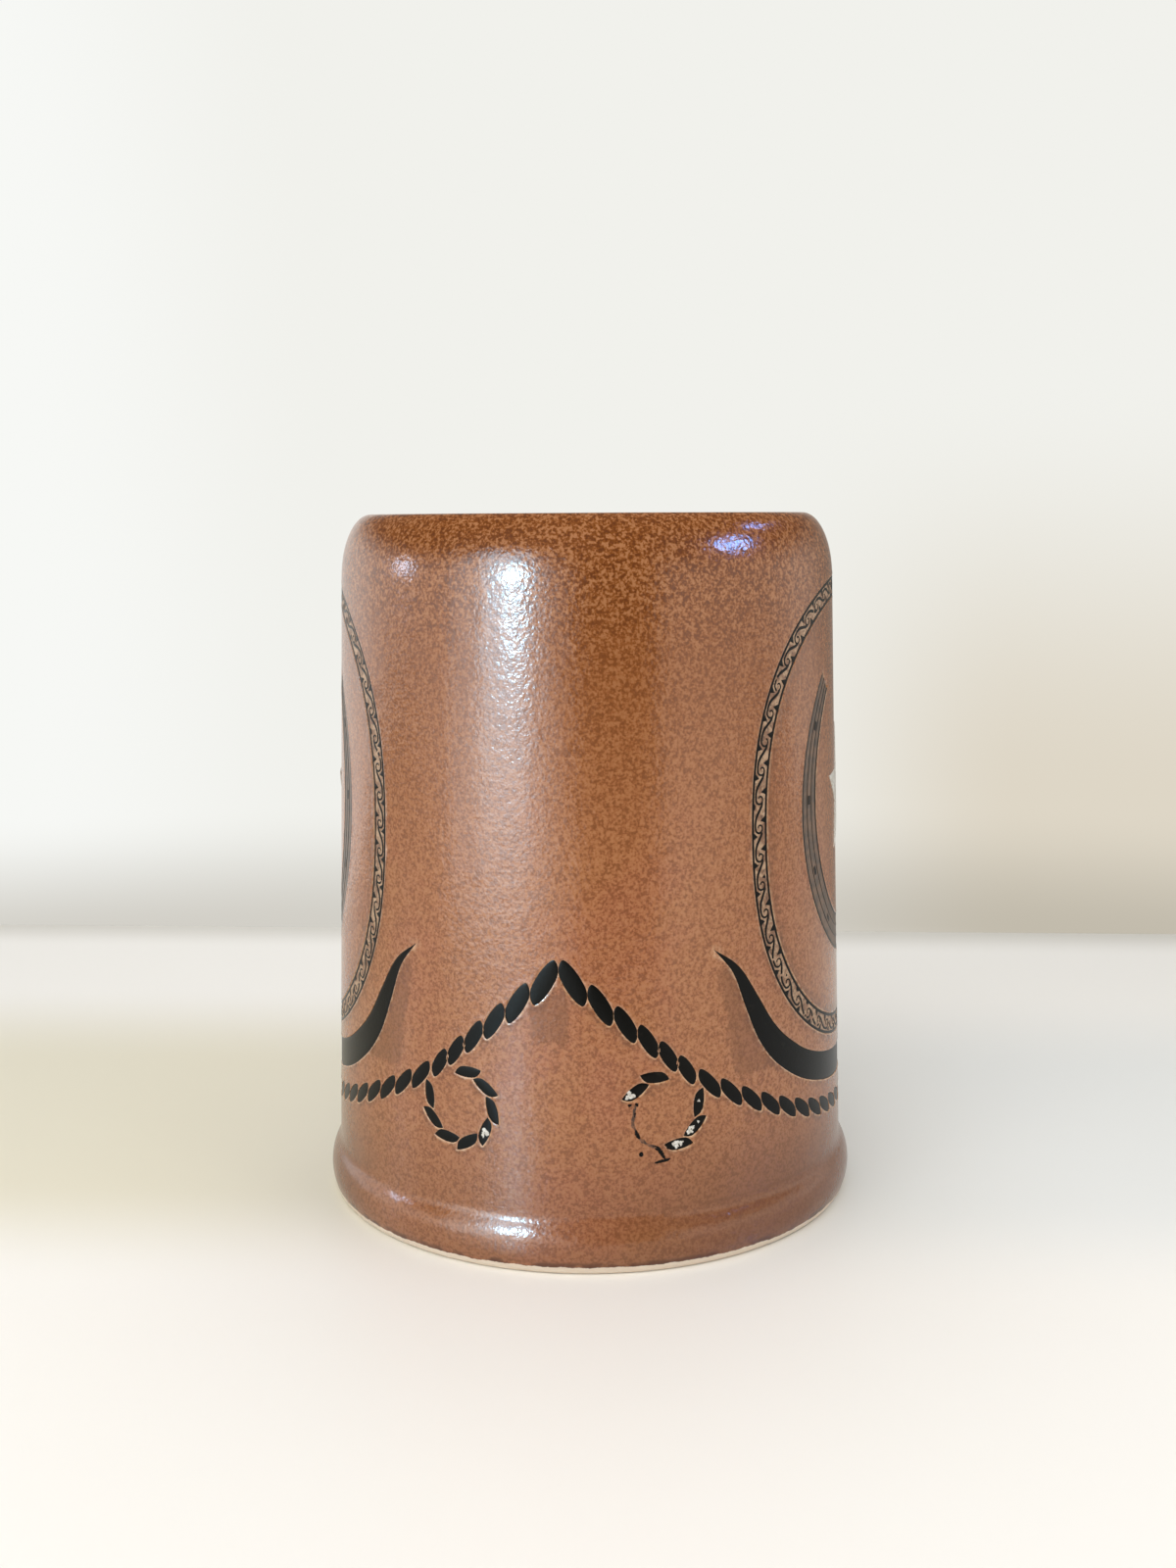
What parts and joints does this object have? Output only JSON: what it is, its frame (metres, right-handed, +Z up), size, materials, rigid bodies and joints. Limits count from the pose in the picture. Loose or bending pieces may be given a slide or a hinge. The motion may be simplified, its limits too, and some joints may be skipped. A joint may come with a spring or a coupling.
{
  "type": "mug",
  "caption": "Stoneware mug with a tapering body, rounded shoulder, beaded foot, strap handle and an ornament of rope, horns and oval medallions laid into the wall.",
  "frame": {"origin": "middle of the footprint, handle included, on the surface that the mug stands on", "axes": "+Z up out of the mouth, +Y from the mug's axis towards the handle, -Y the front seam between the two medallions"},
  "size_m": [0.1004, 0.1356, 0.127],
  "materials": {
    "brown_glaze": "speckled brown gloss glaze over pale stoneware",
    "black_slip": "black slip with a dull sheen, laid into pockets of the wall",
    "pale_band": "thin pale brown glaze"
  },
  "bodies": {
    "root": {"cup_body": "brown_glaze", "strap_handle": "brown_glaze", "upper_slip_joint": "brown_glaze", "lower_slip_joint": "brown_glaze", "medallion_band_right": "pale_band", "horseshoe_inlay_right": "black_slip", "horn_inlay_right": "black_slip", "rope_run_strand_1_right": "black_slip", "rope_run_strand_2_right": "black_slip", "rope_run_strand_3_right": "black_slip", "rope_run_strand_4_right": "black_slip", "rope_run_strand_5_right": "black_slip", "rope_run_strand_6_right": "black_slip", "rope_loop_strand_1_right": "black_slip", "rope_loop_strand_2_right": "black_slip", "rope_loop_strand_3_right": "black_slip", "rope_loop_strand_4_right": "black_slip", "rope_loop_strand_5_right": "black_slip", "rope_loop_strand_6_right": "black_slip", "rope_loop_strand_7_right": "black_slip", "rope_loop_strand_8_right": "black_slip", "rope_swag_strand_1_right": "black_slip", "rope_swag_strand_2_right": "black_slip", "rope_swag_strand_3_right": "black_slip", "rope_swag_strand_4_right": "black_slip", "rope_swag_strand_5_right": "black_slip", "rope_swag_strand_6_right": "black_slip", "rope_swag_strand_7_right": "black_slip", "rope_swag_strand_8_right": "black_slip", "rope_swag_strand_9_right": "black_slip", "rope_swag_strand_10_right": "black_slip", "rope_swag_strand_11_right": "black_slip", "medallion_band_left": "pale_band", "horseshoe_inlay_left": "black_slip", "horn_inlay_left": "black_slip", "rope_run_strand_1_left": "black_slip", "rope_run_strand_2_left": "black_slip", "rope_run_strand_3_left": "black_slip", "rope_run_strand_4_left": "black_slip", "rope_run_strand_5_left": "black_slip", "rope_run_strand_6_left": "black_slip", "rope_loop_strand_1_left": "black_slip", "rope_loop_strand_2_left": "black_slip", "rope_loop_strand_3_left": "black_slip", "rope_loop_strand_4_left": "black_slip", "rope_loop_strand_5_left": "black_slip", "rope_loop_strand_6_left": "black_slip", "rope_loop_strand_7_left": "black_slip", "rope_loop_strand_8_left": "black_slip", "rope_swag_strand_1_left": "black_slip", "rope_swag_strand_2_left": "black_slip", "rope_swag_strand_3_left": "black_slip", "rope_swag_strand_4_left": "black_slip", "rope_swag_strand_5_left": "black_slip", "rope_swag_strand_6_left": "black_slip", "rope_swag_strand_7_left": "black_slip", "rope_swag_strand_8_left": "black_slip", "rope_swag_strand_9_left": "black_slip", "rope_swag_strand_10_left": "black_slip", "rope_swag_strand_11_left": "black_slip"}
  },
  "joints": []
}
